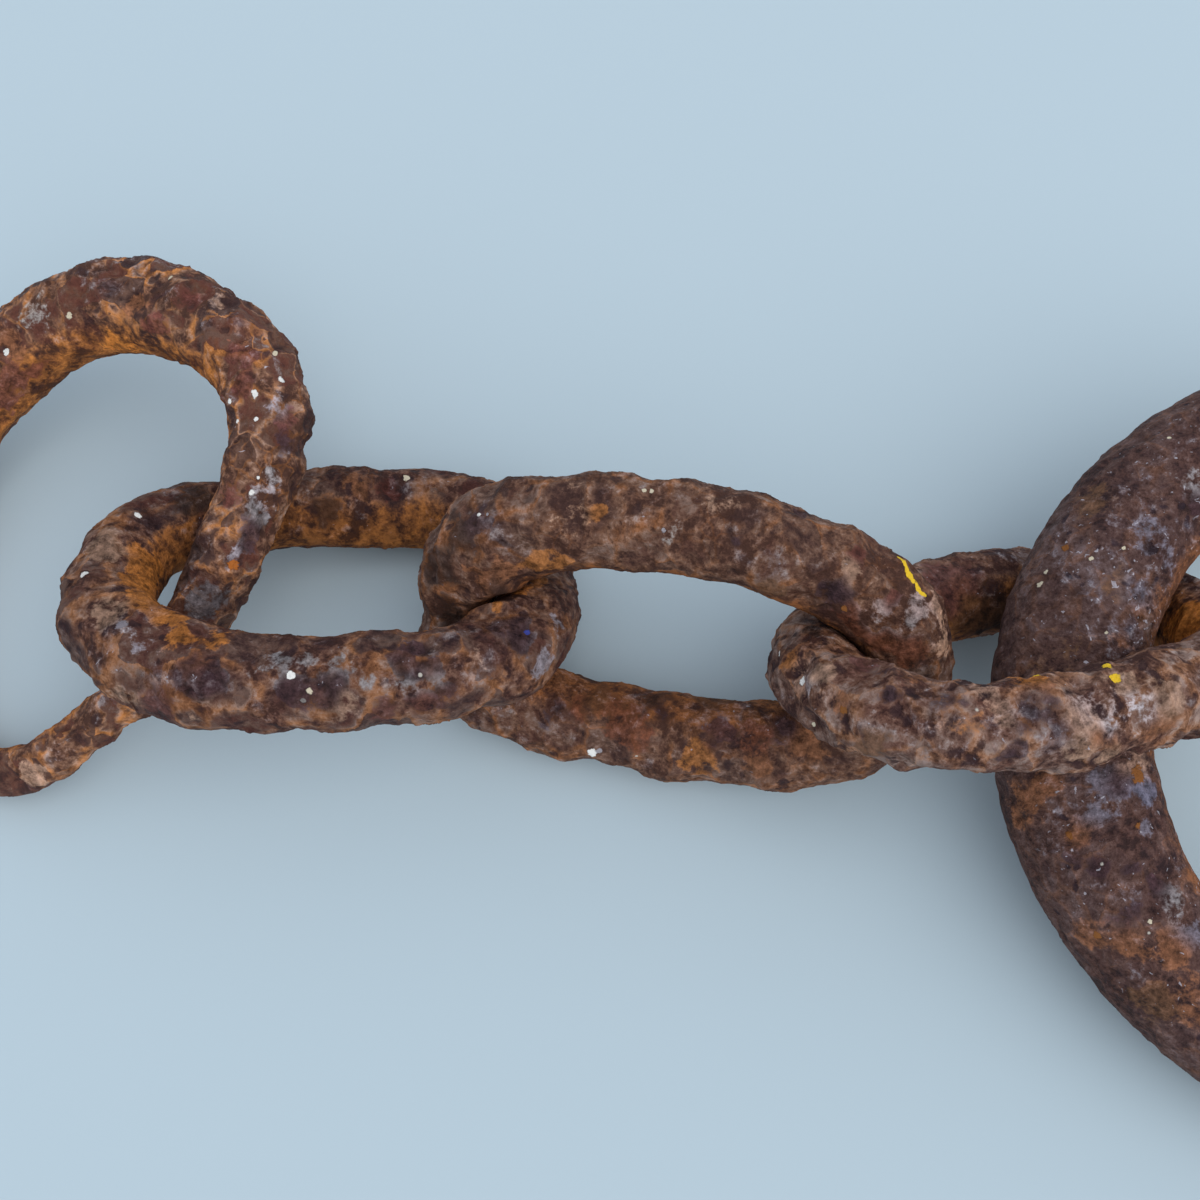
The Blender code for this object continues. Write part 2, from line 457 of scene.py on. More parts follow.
class RustBench(Bench):
    # a rust material, its colour laid on layer by layer, with painted sheen, glints and shade among the
    # layers: the numbers beside the noises weigh them, and those in a rise say where a layer begins and
    # where it is full
    def __init__(self, name, look, relief):
        self.material = bpy.data.materials.new(name)
        self.material.use_nodes = True
        super().__init__(self.material.node_tree)
        self.look = look
        self.tone = {key: linear(value) for key, value in look["tones"].items()}
        self.plateSize = relief["hollowSize"]
        self.skin = self.field("skin", "Vector")
        self.warped = self.field("warped", "Vector")
        self.inner = self.field("inner")
        self.upright = self.split(self.put("ShaderNodeNewGeometry", None, None, "Normal"), 2)
        self.broad = self.wave(self.skin, **noises["broad"])
        self.middling = self.wave(self.skin, **noises["middling"])
        self.fine = self.wave(self.skin, **noises["fine"])
        self.dusty = self.wave(self.skin, **noises["dusty"])
        self.rough = self.middling + self.fine * 0.6 + self.dusty * 0.15

    def field(self, name, output="Fac"):
        return self.put("ShaderNodeAttribute", {"attribute_name": name}, None, output)

    def tint(self, factor, first, second):
        settings = {"data_type": "RGBA", "clamp_factor": True}
        return self.put("ShaderNodeMix", settings, {0: factor, 6: first, 7: second}, 2)

    def ramp(self, value, *stops):
        # tones in turn, each at its own height
        wire = self.put("ShaderNodeValToRGB", None, {0: value})
        elements = wire.node.color_ramp.elements
        while len(elements) < len(stops):
            elements.new(0.5)
        for element, (height, name) in zip(elements, stops):
            element.position = height
            element.color = self.tone[name]
        return wire

    def fadeIn(self, value, name):
        # the layer called haze begins at the look's hazeFrom
        start = self.look[name + "From"]
        return self.rise(value, start, start + fades[name])

    def lay(self, cover, colour):
        self.colour = self.tint(cover, self.colour, colour)

    def layGround(self):
        # brown in slow turns from dark to pale
        turns = self.broad * 0.6 + self.middling * self.look["blotch"] + self.fine * self.look["speckle"]
        self.turns = turns + self.dusty * 0.25 + 0.5
        self.colour = self.ramp(self.turns, (0.34, "dark"), (0.44, "brown"), (0.54, "tan"), (0.68, "pale"))

    def layShelteredRust(self):
        # orange rust inside the bar
        self.shelter = self.fadeIn(self.inner + self.rough * 0.9 + self.broad * 0.6, "inner")
        self.shelter = self.shelter * self.look["inner"]
        self.lay(self.shelter, self.ramp(self.turns, (0.34, "umber"), (0.48, "rust"), (0.64, "orange")))
        self.exposed = 1.0 - self.shelter * 0.75

    def laySeams(self):
        # rust along the seams between plates, and along a finer crackle
        look, tone = self.look, self.tone
        cell = self.cells(self.warped, self.plateSize)
        self.plate = self.split(cell.other("Color"), 0)
        self.ruddy = self.split(cell.other("Color"), 1)
        self.edge = self.cells(self.warped, self.plateSize, feature="DISTANCE_TO_EDGE")
        rust = self.rise(self.rough + self.broad * 0.5, -0.12, 0.16)
        seam = self.edge + self.rough * 0.32 + (self.plate - 0.5) * 0.16
        seam = self.rise(seam, look["seamWidth"], 0.0)
        seam = seam * self.rise(self.broad + self.middling * 0.8, -0.08, 0.08)
        self.seam = seam * look["seams"] * self.exposed
        self.lay(self.seam, self.tint(rust, tone["rust"], tone["orange"]))
        crack = self.cells(self.warped, **crackleCells)
        crack = self.rise(crack + self.fine * 0.25, 0.10, 0.0)
        crack = crack * self.rise(self.middling - self.broad * 0.5, -0.05, 0.12)
        self.crackle = crack * look["seams"] * self.exposed * 0.5
        self.lay(self.crackle, self.tint(self.rise(self.fine, -0.1, 0.15), tone["rust"], tone["orange"]))

    def layPlates(self):
        # plates of dark oxide, some of them maroon
        look, tone = self.look, self.tone
        inside = self.edge + (self.plate - 0.5) * look["plateTurns"] + self.rough * 0.45 + self.broad * 0.25
        self.oxide = self.fadeIn(inside, "plates") * look["plates"] * self.exposed
        ruddy = self.rise(self.ruddy + self.fine * 0.6, 0.35, 0.65)
        dull = self.rise(self.middling + self.fine * 0.8, -0.08, 0.2)
        plateTone = self.tint(dull, self.tint(ruddy, tone["oxide"], tone["maroon"]), tone["dark"])
        self.lay(self.oxide, plateTone)

    def laySpots(self):
        # dark spots of oxide
        cell = self.cells(self.warped, self.look["spotSize"], darkSpotsAt)
        pick = self.split(cell.other("Color"), 0) + self.broad * 1.2
        pick = self.rise(pick, 1.0 - self.look["spots"], 1.1 - self.look["spots"])
        self.spot = self.rise(cell + self.rough, 0.50, 0.18) * pick * self.exposed
        self.lay(self.spot * self.look["spotTint"], self.tone["oxide"])

    def layStains(self):
        # stains in their own places, with painted sky reflection and painted shade among them, which break
        # up outwards, the weaker the sooner
        away = self.field("stainsAway")
        cover = self.rise(away, 1.15, 0.3) * self.field("stainsStrength") * 1.1
        cover = cover + self.middling * 1.3 + self.fine * 1.2 + self.dusty * 0.5
        self.stainAndPaintedLight = self.rise(cover, 0.34, 0.68) * self.rise(away, 1.5, 1.1) * self.look["stainAndLightTint"]
        mottle = 1.0 + self.rough * 1.2 + self.fine * 1.8 + self.dusty * 0.8
        self.lay(self.stainAndPaintedLight, self.vector("SCALE", self.field("stainsTone", "Vector"), mottle))

    def layHazeAndSheen(self):
        # grey lilac haze, partly oxide bloom and partly a painted sky reflection, on what faces up, and
        # small painted glints of light
        cloud = self.wave(self.skin, **noises["cloud"])
        cloud = self.fadeIn(cloud + self.fine * 0.5 + self.dusty * 0.25 + self.broad * 0.4, "haze")
        # the painted sheen is strongest where the bar faces straight up
        haze = cloud * self.rise(self.upright, 0.1, 0.85) * (1.0 - self.stainAndPaintedLight * 0.6)
        self.haze = haze * self.look["haze"]
        # its paler tone is painted sky reflection over the grey bloom
        ash = self.rise(self.fine + self.dusty * 0.5, 0.0, 0.2)
        self.lay(self.haze, self.tint(ash, self.tone["haze"], self.tone["ash"]))
        # painted glints: small highlights on what faces up
        paintedGlint = self.wave(self.skin, **noises["paintedGlint"])
        paintedGlint = self.fadeIn(paintedGlint + cloud * 0.07 + self.broad * 0.1, "paintedGlints")
        paintedGlint = paintedGlint * self.rise(self.upright, 0.2, 0.8) * self.look["paintedGlints"]
        self.lay(paintedGlint, self.tone["paintedGlint"])

    def layGrain(self):
        # fine grain through it all, and pits darkened, partly dark oxide and partly painted shade
        grain = (self.fine * 0.9 + self.dusty * 0.45) * self.look["mottle"] + 1.0
        self.colour = self.vector("SCALE", self.colour, grain * self.look["lightness"])
        pits = self.cellSpots(self.warped, rim=(0.08, 0.36), **pitCells)
        self.lay(pits * self.look["pitOxideAndShadeTint"], self.tone["pit"])

    def layCrumbs(self):
        # pale crumbs of lime caught in the skin
        cell = self.cells(self.skin, **crumbCells)
        pick = self.math("GREATER_THAN", self.split(cell.other("Color"), 0), 1.0 - self.look["crumbs"])
        self.crumb = self.rise(cell + self.fine * 0.3, 0.2, 0.10) * pick
        self.lay(self.crumb * self.look["crumbTint"], self.tone["crumb"])

    def layFlecks(self):
        # flecks in their own places, with ragged edges
        away = self.field("flecksAway") + self.wave(self.skin, **noises["fleckEdge"]) * 1.8
        self.fleck = self.rise(away + self.dusty * 0.6, 1.15, 0.85) * self.field("flecksStrength")
        self.lay(self.fleck, self.field("flecksTone", "Vector"))

    def finished(self):
        # oxide keeps a dull sheen, orange rust has none
        roughness = self.look["roughness"] + self.fine * 0.5
        roughness = roughness + self.shelter * 0.15 - self.oxide * 0.12 - self.haze * 0.12
        roughness = self.math("MINIMUM", self.math("MAXIMUM", roughness, 0.4), 1.0)
        bump = self.fine * 1.1 + self.dusty * 0.5 + self.seam * 0.2 + self.crackle * 0.15
        bump = bump - self.spot * 0.3 + self.fleck * 0.3 + self.crumb * 0.2
        bump = {"Strength": self.look["bump"], "Distance": mm, "Height": bump}
        shader = self.tree.nodes["Principled BSDF"].inputs
        self.feed(shader["Base Color"], self.colour)
        self.feed(shader["Roughness"], roughness)
        self.feed(shader["Specular IOR Level"], self.look["sheen"])
        self.feed(shader["Normal"], self.put("ShaderNodeBump", None, bump, "Normal"))
        return self.material


def rustMaterial(name, look, relief):
    bench = RustBench(name, look, relief)
    bench.layGround()
    bench.layShelteredRust()
    bench.laySeams()
    bench.layPlates()
    bench.laySpots()
    bench.layStains()
    bench.layHazeAndSheen()
    bench.layGrain()
    bench.layCrumbs()
    bench.layFlecks()
    return bench.finished()


# each ground's tones, as screen colours from 0 to 255
rustTones = dict(
    dark=(70, 44, 38), brown=(100, 68, 57), tan=(122, 89, 74), pale=(148, 119, 105),
    umber=(82, 50, 33), rust=(132, 81, 44), orange=(176, 109, 52),
    # pit is partly dark oxide and partly painted shade in the pits
    oxide=(52, 35, 38), maroon=(80, 44, 39), pit=(36, 26, 30),
    # haze and its pale end are partly grey oxide and partly painted sky reflection; the glint tone is a
    # painted highlight
    haze=(120, 112, 119), ash=(162, 155, 157), paintedGlint=(178, 172, 180), crumb=(206, 198, 186),
)
tanGround = dict(
    rustTones,
    brown=(100, 70, 58), tan=(126, 94, 80), pale=(154, 129, 118),
    # the sheltered rust tones are darker, partly painted shade from the large ring on the far bar
    umber=(62, 40, 30), rust=(116, 72, 42), orange=(164, 104, 54),
)
warmPlates = dict(
    rustTones,
    dark=(72, 47, 38), brown=(102, 71, 56), tan=(124, 92, 74),
    rust=(136, 84, 44), orange=(180, 112, 52), oxide=(56, 38, 37), maroon=(86, 49, 40),
)
darkInside = dict(
    rustTones,
    dark=(74, 48, 39), brown=(98, 68, 55), tan=(120, 88, 71), umber=(68, 40, 30),
    rust=(104, 64, 40), orange=(152, 92, 48), oxide=(56, 39, 40), maroon=(82, 49, 42),
)
ringTones = dict(
    rustTones,
    dark=(56, 38, 36), brown=(82, 57, 51), tan=(95, 71, 65), pale=(114, 93, 91),
    umber=(64, 46, 42), rust=(104, 68, 50), orange=(136, 86, 54), oxide=(44, 33, 42), maroon=(64, 40, 40),
    # haze tones, partly grey oxide and partly painted sky reflection
    haze=(108, 101, 113), ash=(150, 146, 154),
)

# tones of stains and flecks
white = (240, 236, 230)
cream = (214, 200, 174)
yellow = (240, 196, 50)
pearl = (158, 150, 154)
sand = (190, 148, 122)
shell = (150, 130, 126)
clay = (156, 122, 104)
lilac = (128, 120, 126)
slate = (126, 120, 121)
grey = (128, 120, 116)
tan = (138, 108, 90)
ginger = (180, 104, 46)
amber = (166, 102, 46)
bluish = (98, 97, 114)
steel = (100, 94, 104)
blue = (64, 72, 150)
ochre = (140, 88, 46)
rusty = (118, 76, 52)
lead = (72, 66, 68)
umber = (92, 64, 46)
cocoa = (98, 56, 40)
maroon = (84, 50, 46)
peat = (84, 54, 36)
wine = (84, 46, 40)
mulberry = (60, 40, 45)
plum = (56, 40, 45)
soot = (50, 35, 31)

# what rust has done to a bar's shape, sizes and heights in millimetres
linkRelief = dict(
    swing=1.0, swingSize=26.0, lumps=1.3, lumpSize=10.5, wander=7.0, ragged=1.3,
    hollows=1.6, hollowSize=10.0, dimples=0.35, dimpleSize=3.6,
    pits=0.5, scabs=0.5, flakes=1.3, grain=0.3,
)

# how strong each layer of rust, painted sheen, painted glints and painted shade in pits is and where it
# begins, with sizes in millimetres
rustLook = dict(
    tones=rustTones, inner=0.9, innerFrom=0.5, plates=0.85, platesFrom=0.10, plateTurns=0.34,
    seams=0.75, seamWidth=0.13, spots=0.3, spotSize=3.2, spotTint=0.75, stainAndLightTint=0.82,
    haze=0.55, hazeFrom=0.06, blotch=1.2, speckle=0.7, paintedGlints=0.7, paintedGlintsFrom=0.24, mottle=1.1,
    pitOxideAndShadeTint=0.5, crumbs=0.012, crumbTint=0.8, lightness=1.0, roughness=0.70, sheen=0.1, bump=0.8,
)

# what the pieces share unless they say otherwise; bends and swells go by degrees along the bar
plainBar = dict(
    squareness=2.6, taper=0.0, thickSide=0.0, bends={}, swells={},
    landSide=0.0, landDepth=0.0, landLength=0.0, stations=630, facets=150, relief=linkRelief,
)

# dents: degrees along, degrees round, reach and height in millimetres; a height over 0 is a knob
# stains and painted light: degrees along, degrees round, reach, tone, strength; flecks: the same without a
# strength
# the lilac, slate, steel and bluish stains are partly grey oxide and partly painted sky reflection
endLoop = dict(
    plainBar, name="endLoop", node="end_loop", before="left_link", after="left_link",
    length=115.0, width=134.0, bar=17.0, squareness=2.0, turn=(16.0, -10.0, -24.0),
    taper=3.0, thickSide=110.0,
    bends={0: -5.5, 45: 2.0, 90: -2.5, 135: -1.5, 270: 7.5, 315: -4.5},
    landSide=-1.0, landDepth=0.6, landLength=12.0, stations=640, facets=148,
    relief=dict(linkRelief, hollowSize=7.6, wander=8.5, ragged=2.0),
    look=dict(
        rustLook, tones=warmPlates, plates=0.85, platesFrom=0.07, plateTurns=0.36, seams=0.8,
        seamWidth=0.15, haze=0.45, lightness=1.42,
    ),
    dents=[(78, 300, 9.0, 1.2), (92, 300, 5.0, -1.2), (62, 300, 6.0, 0.8)],
    stains=[
        (5, 314, 4.0, lilac, 0.5), (10, 330, 5.0, plum, 0.9), (18, 322, 6.0, slate, 0.8),
        (19, 275, 5.0, wine, 0.5), (21, 338, 4.0, lilac, 0.4), (25, 324, 4.0, slate, 0.6),
        (32, 335, 4.0, plum, 0.7), (38, 324, 5.0, wine, 0.7), (42, 315, 3.5, lilac, 0.4),
        (47, 274, 5.0, wine, 0.9), (51, 292, 4.0, wine, 0.8), (54, 280, 5.0, wine, 0.9),
        (60, 310, 4.0, rusty, 0.6), (70, 302, 5.0, tan, 0.6), (75, 280, 4.0, wine, 0.7),
        (81, 236, 5.0, wine, 0.7), (90, 260, 5.0, rusty, 0.8), (101, 190, 8.0, amber, 0.5),
        (123, 265, 6.0, grey, 0.5), (134, 204, 5.0, wine, 0.6), (134, 253, 6.0, rusty, 0.8),
        (142, 218, 6.0, maroon, 0.8), (149, 202, 6.0, maroon, 0.8), (289, 324, 5.0, tan, 0.7),
        (352, 302, 7.0, lead, 0.7), (358, 220, 8.0, soot, 1.0),
    ],
    flecks=[
        (2, 319, 1.2, ginger), (20, 304, 0.7, white), (24, 306, 0.5, white), (37, 255, 0.5, white),
        (37, 286, 0.6, white), (43, 248, 0.6, white), (43, 285, 0.9, white), (46, 324, 0.9, white),
        (52, 328, 0.7, cream), (84, 302, 0.6, cream), (113, 243, 0.8, cream),
        (137, 241, 0.8, white),
    ],
)
leftLink = dict(
    plainBar, name="leftLink", node="left_link", before="end_loop", after="middle_link",
    length=119.5, width=85.5, bar=20.6, turn=(-27.5, 8.5, 5.0),
    bends={0: -1.0, 45: 1.5, 90: -1.0, 180: 1.0, 225: -1.0, 270: 1.0, 315: 1.5},
    swells={0: -1.0, 135: -0.5, 225: 1.0},
    relief=dict(linkRelief, hollowSize=12.0),
    look=dict(rustLook, seams=0.5, plates=0.65, haze=0.4, lightness=0.92),
    dents=[(73, 242, 4.0, -1.6), (330, 222, 10.0, 6.0), (354, 170, 10.0, 6.0)],
    stains=[
        (73, 242, 4.0, wine, 0.9), (83, 245, 5.0, rusty, 0.8), (94, 211, 6.0, soot, 0.6),
        (138, 252, 8.0, soot, 0.7), (174, 278, 7.0, tan, 0.8), (177, 214, 7.0, amber, 0.8),
        (190, 226, 7.0, amber, 0.8), (207, 286, 6.0, tan, 0.8), (208, 240, 8.0, amber, 0.8),
        (214, 290, 3.0, pearl, 0.5), (219, 7, 5.0, tan, 0.8), (219, 252, 7.0, amber, 0.8),
        (220, 298, 5.0, lilac, 0.4), (229, 353, 6.0, maroon, 0.8), (230, 278, 5.0, amber, 0.9),
        (237, 266, 5.0, amber, 0.7), (239, 319, 8.5, mulberry, 0.95), (239, 358, 6.0, tan, 0.4),
        (251, 304, 3.5, slate, 0.5), (258, 289, 3.5, slate, 0.6), (262, 320, 6.5, mulberry, 0.95),
        (265, 287, 3.5, slate, 0.6), (270, 316, 6.0, plum, 0.9), (272, 290, 3.5, slate, 0.6),
        (273, 348, 6.0, tan, 0.5), (279, 311, 4.0, slate, 0.5), (285, 358, 5.0, maroon, 0.6),
        (288, 326, 3.5, slate, 0.5), (291, 296, 7.0, mulberry, 0.95), (294, 344, 6.5, maroon, 0.9),
        (297, 307, 5.0, mulberry, 0.8), (298, 321, 3.0, slate, 0.4), (301, 338, 5.0, mulberry, 0.8),
        (309, 311, 4.5, clay, 0.5), (321, 290, 8.0, plum, 0.95), (323, 250, 3.5, amber, 0.7),
        (325, 346, 5.0, lilac, 0.5), (332, 321, 4.0, lilac, 0.6), (335, 253, 4.0, amber, 0.8),
        (343, 268, 4.0, ochre, 0.8),
    ],
    flecks=[
        (67, 264, 0.8, cream), (158, 262, 0.8, white), (188, 290, 0.9, white),
        (213, 288, 1.1, lilac), (260, 305, 0.8, white), (263, 336, 0.6, grey),
        # the blue fleck is a painted glint
        (265, 324, 0.7, cream), (324, 298, 0.7, blue),
    ],
)
middleLink = dict(
    plainBar, name="middleLink", node="middle_link", before="left_link", after="right_link",
    length=125.0, width=74.5, bar=20.4, turn=(51.0, -5.0, -10.5),
    bends={0: 1.0, 45: -1.0, 90: 1.0, 180: -1.0, 225: 1.0},
    swells={135: 1.5, 180: -2.0, 225: 0.5},
    look=dict(
        rustLook, tones=darkInside, seams=0.7, plates=0.45, spots=0.15, blotch=0.95, haze=0.4,
        lightness=1.05,
    ),
    dents=[(58, 0, 4.0, -1.0), (163, 208, 10.0, 6.0), (178, 150, 10.0, 6.0)],
    stains=[
        (12, 330, 6.0, sand, 0.9), (14, 281, 5.5, cocoa, 0.8), (15, 350, 4.0, sand, 0.6),
        (18, 341, 5.0, clay, 0.9), (21, 302, 3.5, slate, 0.6), (22, 266, 6.0, cocoa, 0.8),
        (22, 318, 5.0, shell, 0.6), (25, 287, 3.0, slate, 0.4), (28, 306, 3.0, wine, 0.8),
        (31, 259, 6.0, cocoa, 0.8), (31, 288, 3.5, shell, 0.5), (34, 346, 4.0, clay, 0.4),
        (41, 275, 5.5, plum, 0.85), (41, 334, 4.0, wine, 0.7), (42, 310, 4.0, tan, 0.7),
        (58, 5, 3.5, plum, 0.8), (58, 247, 5.0, umber, 0.7), (71, 281, 3.0, plum, 0.6),
        (77, 336, 6.0, tan, 0.5), (90, 293, 4.0, grey, 0.4), (112, 312, 3.2, ochre, 0.9),
        (119, 298, 7.0, tan, 0.35), (121, 329, 5.0, tan, 0.4), (124, 244, 4.0, ochre, 0.7),
        (134, 243, 5.0, ochre, 0.8), (143, 254, 4.0, rusty, 0.8), (145, 314, 5.0, plum, 0.8),
        (149, 240, 7.0, soot, 0.6), (150, 305, 8.0, soot, 0.7), (152, 251, 4.0, rusty, 0.8),
        (161, 295, 8.0, soot, 0.7), (174, 264, 6.0, soot, 0.7), (234, 202, 6.0, rusty, 0.5),
        (236, 238, 5.0, plum, 0.6), (243, 220, 6.0, cocoa, 0.6), (249, 204, 7.0, peat, 0.7),
        (256, 222, 7.0, cocoa, 0.6), (262, 240, 8.0, cocoa, 0.7), (269, 194, 7.0, soot, 0.7),
        (273, 212, 4.5, plum, 0.7), (284, 262, 6.0, ochre, 0.7), (288, 160, 8.0, peat, 0.8),
        (290, 227, 5.5, mulberry, 0.95), (301, 236, 7.0, cocoa, 0.6), (303, 255, 6.0, rusty, 0.8),
        (311, 218, 5.0, plum, 0.7), (320, 240, 7.0, rusty, 0.8),
    ],
    flecks=[
        (22, 341, 0.6, yellow), (22.8, 343, 0.6, yellow), (23.6, 345, 0.6, yellow),
        (24.4, 347, 0.6, yellow), (25.2, 349, 0.6, yellow), (26, 351, 0.7, yellow),
        (26.8, 353, 0.8, yellow), (27.6, 356, 0.8, yellow), (28.2, 359, 0.7, yellow),
        (28.8, 2, 0.7, yellow), (29.4, 5, 0.7, yellow), (30, 8, 0.7, yellow), (37, 262, 0.6, ochre),
        (93, 292, 0.5, pearl), (98, 342, 0.5, cream), (100, 343, 0.5, cream),
        (142, 315, 0.4, pearl), (144, 319, 0.5, white), (250, 283, 1.1, white),
        (252, 279, 0.7, pearl),
    ],
)
rightLink = dict(
    plainBar, name="rightLink", node="right_link", before="middle_link", after="large_ring",
    length=120.0, width=80.0, bar=19.2, turn=(-44.5, 13.5, 16.0),
    bends={0: -1.0, 45: 1.0, 90: 0.5, 270: 1.0}, swells={0: -2.0, 90: 1.0},
    look=dict(
        rustLook, tones=tanGround, plates=0.35, seams=0.45, spots=0.6, spotSize=3.6, haze=0.6,
        lightness=1.08,
    ),
    dents=[(5, 125, 12.0, 6.0), (354, 160, 12.0, 6.0)],
    stains=[
        # the first three, large and dark on the far bar, are partly dark oxide and partly painted shade
        # from the large ring
        (78, 166, 9.0, soot, 0.9), (89, 192, 10.0, peat, 0.9), (94, 222, 11.0, maroon, 0.85),
        (171, 279, 5.0, soot, 0.8), (175, 327, 4.0, ochre, 0.8), (177, 300, 5.0, rusty, 0.6),
        (179, 262, 4.0, rusty, 0.7), (180, 338, 4.0, clay, 0.7), (184, 345, 5.0, rusty, 0.6),
        (186, 329, 3.5, pearl, 0.5), (187, 314, 5.0, tan, 0.7), (192, 271, 4.0, maroon, 0.6),
        (195, 337, 4.0, rusty, 0.5), (200, 276, 4.0, plum, 0.6), (203, 7, 6.0, umber, 0.6),
        (205, 314, 3.0, plum, 0.7), (208, 256, 4.0, rusty, 0.9), (214, 326, 4.0, clay, 0.6),
        (217, 304, 4.0, plum, 0.5), (221, 338, 4.0, ochre, 0.5), (226, 286, 5.0, clay, 0.7),
        (228, 321, 5.0, clay, 0.9), (230, 2, 4.0, plum, 0.7), (234, 326, 4.5, plum, 0.7),
        (238, 264, 6.0, amber, 0.8), (239, 283, 4.0, rusty, 0.9), (239, 313, 3.5, plum, 0.7),
        (240, 346, 4.0, plum, 0.6), (244, 336, 5.0, clay, 0.8), (246, 7, 5.0, tan, 0.8),
        (251, 317, 6.0, shell, 0.5), (251, 336, 5.0, clay, 0.5), (253, 5, 6.0, rusty, 0.6),
        (254, 19, 5.0, tan, 0.7), (256, 341, 5.0, pearl, 0.4), (262, 304, 5.0, tan, 0.7),
        (262, 334, 6.0, pearl, 0.3), (268, 2, 6.0, rusty, 0.6), (271, 329, 6.0, tan, 0.7),
        (345, 187, 8.0, amber, 1.0),
    ],
    flecks=[
        (169, 331, 0.6, white), (181, 336, 1.0, white), (186, 34, 0.5, cream),
        (196, 341, 0.9, ochre), (243, 238, 1.1, yellow), (261, 286, 1.1, yellow),
        (262, 266, 0.9, yellow),
    ],
)
largeRing = dict(
    plainBar, name="largeRing", node="large_ring", before="right_link", after="right_link",
    length=184.0, width=184.0, bar=31.8, squareness=2.0, turn=(9.0, 0.5, 3.0),
    swells={180: 1.0, 225: -1.0},
    landSide=1.0, landDepth=0.6, landLength=12.0, stations=676, facets=140,
    relief=dict(
        linkRelief, swing=0.7, lumps=0.6, hollows=0.5, hollowSize=6.5, dimples=0.3, pits=0.55,
        scabs=0.45, flakes=0.5,
    ),
    look=dict(
        rustLook, tones=ringTones, plates=0.25, plateTurns=0.5, seams=0.3, spots=0.15, spotSize=2.2,
        blotch=0.3, speckle=0.6, paintedGlintsFrom=0.17, haze=0.5, crumbs=0.02, lightness=1.12,
    ),
    dents=[],
    stains=[
        (129, 267, 6.0, slate, 0.4), (131, 255, 4.5, mulberry, 0.8), (140, 320, 8.0, umber, 0.6),
        (142, 262, 8.0, steel, 0.5), (143, 240, 6.0, steel, 0.5), (152, 257, 6.0, steel, 0.5),
        (152, 273, 6.0, umber, 0.5), (156, 242, 5.0, rusty, 0.9), (157, 234, 5.0, umber, 0.7),
        (162, 257, 5.0, rusty, 0.5), (166, 300, 9.0, umber, 0.5), (182, 246, 5.0, clay, 0.7),
        (184, 281, 4.5, steel, 0.6), (184, 314, 6.0, rusty, 0.6), (185, 267, 5.0, plum, 0.95),
        (187, 337, 8.0, rusty, 0.5), (189, 243, 5.0, bluish, 0.7), (190, 284, 5.0, steel, 0.7),
        (192, 301, 5.0, rusty, 0.8), (194, 250, 4.0, steel, 0.6), (195, 316, 4.0, plum, 0.8),
        (198, 298, 4.0, mulberry, 0.95), (199, 276, 4.0, plum, 0.9), (203, 268, 4.0, mulberry, 0.9),
        (204, 296, 4.0, plum, 0.9), (206, 257, 5.0, slate, 0.4), (206, 329, 6.0, rusty, 0.7),
        (209, 306, 5.0, rusty, 0.8), (212, 259, 4.5, steel, 0.6), (212, 278, 6.0, rusty, 0.9),
        (217, 319, 8.0, umber, 0.7), (221, 295, 9.0, rusty, 0.6),
    ],
    flecks=[
        (125, 306, 0.5, cream), (146, 280, 0.5, cream), (149, 319, 0.8, ochre),
        (150, 298, 0.5, cream), (153, 328, 0.7, cream), (155, 329, 0.7, cream),
        (161, 270, 0.4, cream), (185, 247, 1.8, ochre), (192, 311, 0.8, ochre),
        (193, 260, 0.7, ochre), (206, 326, 0.8, ochre), (207, 283, 0.5, cream),
    ],
)

def label(word):
    # the tree's name for a value: thickSide is asked for as Thick Side
    return "".join(" " + letter if letter.isupper() else letter for letter in word).title()


def inScene(name, data):
    thing = bpy.data.objects.new(name, data)
    bpy.context.scene.collection.objects.link(thing)
    return thing


def marksFor(name, rows):
    # points that know how far along and round a bar they go, their reach in millimetres, tone and strength
    mesh = bpy.data.meshes.new(name)
    mesh.from_pydata([(0.0, 0.0, 0.0)] * len(rows), [], [])
    for field, column in (("along", 0), ("round", 1), ("reach", 2), ("strength", 4)):
        values = mesh.attributes.new(field, "FLOAT", "POINT").data
        for place, row in enumerate(rows):
            values[place].value = row[column]
    tones = mesh.attributes.new("tone", "FLOAT_VECTOR", "POINT").data
    for place, row in enumerate(rows):
        tones[place].vector = linear(row[3])[:3]
    return inScene(name, mesh)


def marksOf(piece):
    # a dent's height stands in the strength column of the stains and painted light, and an empty list gets
    # one mark without any
    flat = (0, 0, 0)
    rows = {
        "Dents": [(along, turn, reach, flat, height) for along, turn, reach, height in piece["dents"]],
        "Stains": piece["stains"],
        "Flecks": [(*fleck, 1.0) for fleck in piece["flecks"]],
    }
    noMark = [(0.0, 0.0, 1.0, flat, 0.0)]
    return {key: marksFor(piece["name"] + key, rows[key] or noMark) for key in rows}


shapeKeys = (
    "length", "width", "bar", "squareness", "taper", "thickSide",
    "landSide", "landDepth", "landLength", "stations", "facets",
)


def valuesOf(piece, marks):
    # what the tree asks for, by the tree's names
    boxLow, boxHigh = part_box(piece["node"])
    values = {
        "Turn": tuple(math.radians(angle) for angle in piece["turn"]),
        "Box Low": tuple(boxLow),
        "Box High": tuple(boxHigh),
        "Before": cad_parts[piece["before"]],
        "After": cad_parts[piece["after"]],
        "Material": rustMaterial(piece["name"] + "Rust", piece["look"], piece["relief"]),
        **marks,
    }
    for key, value in ({key: piece[key] for key in shapeKeys} | piece["relief"]).items():
        values[label(key)] = value
    for peak in bearings:
        values[f"Bend at {peak}"] = piece["bends"].get(peak, 0.0)
        values[f"Swell at {peak}"] = piece["swells"].get(peak, 0.0)
    return values


